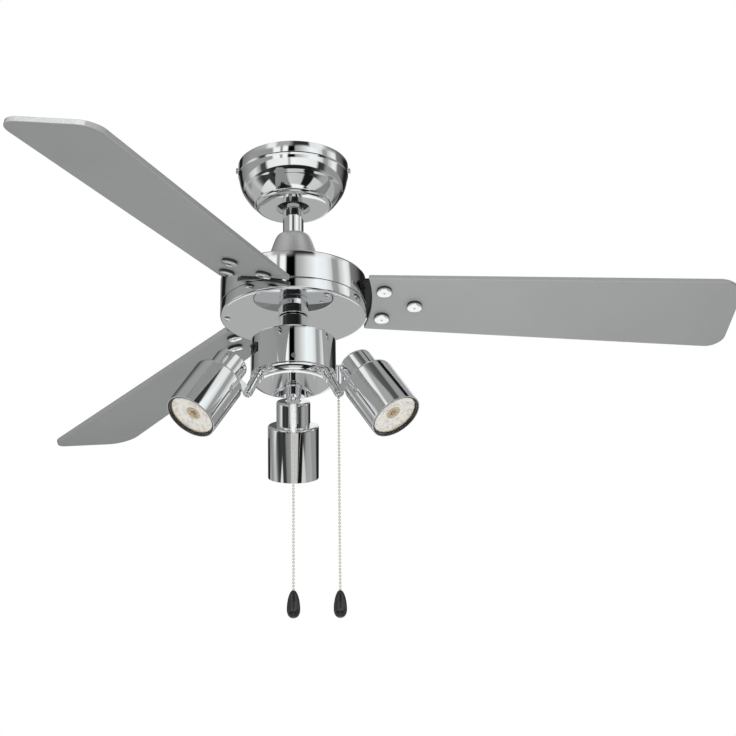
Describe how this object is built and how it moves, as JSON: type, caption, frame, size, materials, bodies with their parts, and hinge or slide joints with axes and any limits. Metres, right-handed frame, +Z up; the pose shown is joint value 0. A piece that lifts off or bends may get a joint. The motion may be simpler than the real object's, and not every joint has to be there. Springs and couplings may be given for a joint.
{
  "type": "ceiling fan with spotlights",
  "caption": "Ceiling fan on a short rod with flat pitched blades round a polished drum motor, a switch housing with pull chains below, and swivelling spotlights on short arms",
  "frame": {"origin": "On the ceiling plane at the centre of the hanging bracket's top face, on the fan's own upright axis; the fan hangs below it", "axes": "+Z up into the ceiling, +X to the right along the first blade as pictured, -Y towards the viewer of the picture"},
  "size_m": [0.8567, 0.9645, 0.5776],
  "materials": {
    "chrome": "polished chrome plate, mirror bright",
    "satin_metal": "satin grey lacquered metal with a soft sheen",
    "zinc": "zinc plated, dull",
    "dark_metal": "black painted steel",
    "steel": "plain mill steel",
    "silver_board": "matt silver-grey foil on board, sealed edges",
    "copper": "varnished copper winding",
    "black_plastic": "glossy black plastic",
    "white_plastic": "white moulded plastic",
    "clear_plastic": "milky clear plastic",
    "chain_metal": "nickel plated ball chain",
    "lamp_glass": "clear lens over a bright faceted reflector"
  },
  "bodies": {
    "mount": {"ceiling_bracket": "steel", "canopy": "chrome", "canopy_screw_right": "chrome", "canopy_screw_left": "chrome"},
    "hanging": {"hanger_ball": "dark_metal", "hanger_pin": "steel", "downrod": "chrome", "yoke": "zinc", "yoke_pin": "steel", "coupling_cover": "satin_metal", "motor_shaft": "steel", "stator_core": "steel", "stator_winding": "copper", "upper_bearing": "steel", "lower_bearing": "steel", "switch_neck": "chrome", "shaft_nut": "zinc", "switch_housing": "chrome", "housing_screw": "zinc", "light_plate": "chrome", "reverse_switch": "black_plastic", "fan_switch": "white_plastic", "light_switch": "white_plastic", "capacitor": "black_plastic", "fan_nozzle": "chrome", "light_nozzle": "chrome"},
    "rotor": {"motor_shell": "chrome", "bottom_cover": "chrome", "rotor_ring": "steel", "cover_screw_1": "chrome", "cover_screw_2": "chrome", "cover_screw_3": "chrome", "blade_iron_1": "dark_metal", "blade_iron_2": "dark_metal", "blade_iron_3": "dark_metal", "blade_1": "silver_board", "blade_2": "silver_board", "blade_3": "silver_board"},
    "fan_pull": {"fan_chain": "chain_metal", "fan_chain_sleeve": "clear_plastic", "fan_fob": "black_plastic"},
    "light_pull": {"light_chain": "chain_metal", "light_fob": "black_plastic"},
    "reverse_key": {"reverse_slider": "black_plastic"},
    "spot_arm_1": {"spot_arm_1": "chrome", "knuckle_pin_1": "zinc"},
    "spot_head_1": {"spot_shell_1": "chrome", "spot_lamp_1": "lamp_glass", "lamp_holder_1": "white_plastic"},
    "spot_arm_2": {"spot_arm_2": "chrome", "knuckle_pin_2": "zinc"},
    "spot_head_2": {"spot_shell_2": "chrome", "spot_lamp_2": "lamp_glass", "lamp_holder_2": "white_plastic"},
    "spot_arm_3": {"spot_arm_3": "chrome", "knuckle_pin_3": "zinc"},
    "spot_head_3": {"spot_shell_3": "chrome", "spot_lamp_3": "lamp_glass", "lamp_holder_3": "white_plastic"}
  },
  "joints": [
    {"name": "hanger_swing", "type": "hinge", "parent": "mount", "child": "hanging", "pos_m": [0, 0, -0.036], "axis": [1, 0, 0], "range_deg": [-12, 12]},
    {"name": "rotor_spin", "type": "hinge", "parent": "hanging", "child": "rotor", "pos_m": [0, 0, -0.18], "axis": [0, 0, 1], "continuous": true},
    {"name": "spot_1_swivel", "type": "hinge", "parent": "hanging", "child": "spot_arm_1", "pos_m": [-0.0394, -0.02275, -0.2835], "axis": [-0.4035, -0.233, -0.8848], "range_deg": [-45, 45]},
    {"name": "spot_1_tilt", "type": "hinge", "parent": "spot_arm_1", "child": "spot_head_1", "pos_m": [-0.0524, -0.03025, -0.31199], "axis": [0.5, -0.866, 0], "range_deg": [-20, 35]},
    {"name": "spot_2_swivel", "type": "hinge", "parent": "hanging", "child": "spot_arm_2", "pos_m": [0.0394, -0.02275, -0.2835], "axis": [0.4035, -0.233, -0.8848], "range_deg": [-45, 45]},
    {"name": "spot_2_tilt", "type": "hinge", "parent": "spot_arm_2", "child": "spot_head_2", "pos_m": [0.0524, -0.03025, -0.31199], "axis": [0.5, 0.866, 0], "range_deg": [-20, 35]},
    {"name": "spot_3_swivel", "type": "hinge", "parent": "hanging", "child": "spot_arm_3", "pos_m": [0, 0.0455, -0.2835], "axis": [0, 0.466, -0.8848], "range_deg": [-45, 45]},
    {"name": "spot_3_tilt", "type": "hinge", "parent": "spot_arm_3", "child": "spot_head_3", "pos_m": [0, 0.0605, -0.31199], "axis": [-1, 0, 0], "range_deg": [-20, 35]},
    {"name": "fan_chain_pull", "type": "slide", "parent": "hanging", "child": "fan_pull", "axis": [0, 0, -1], "range_m": [0, 0.012], "stiffness_N_per_m": 600, "springref_m": -0.002},
    {"name": "light_chain_pull", "type": "slide", "parent": "hanging", "child": "light_pull", "axis": [0, 0, -1], "range_m": [0, 0.012], "stiffness_N_per_m": 600, "springref_m": -0.002},
    {"name": "reverse_slide", "type": "slide", "parent": "hanging", "child": "reverse_key", "axis": [0, 0, -1], "range_m": [0, 0.004]}
  ]
}
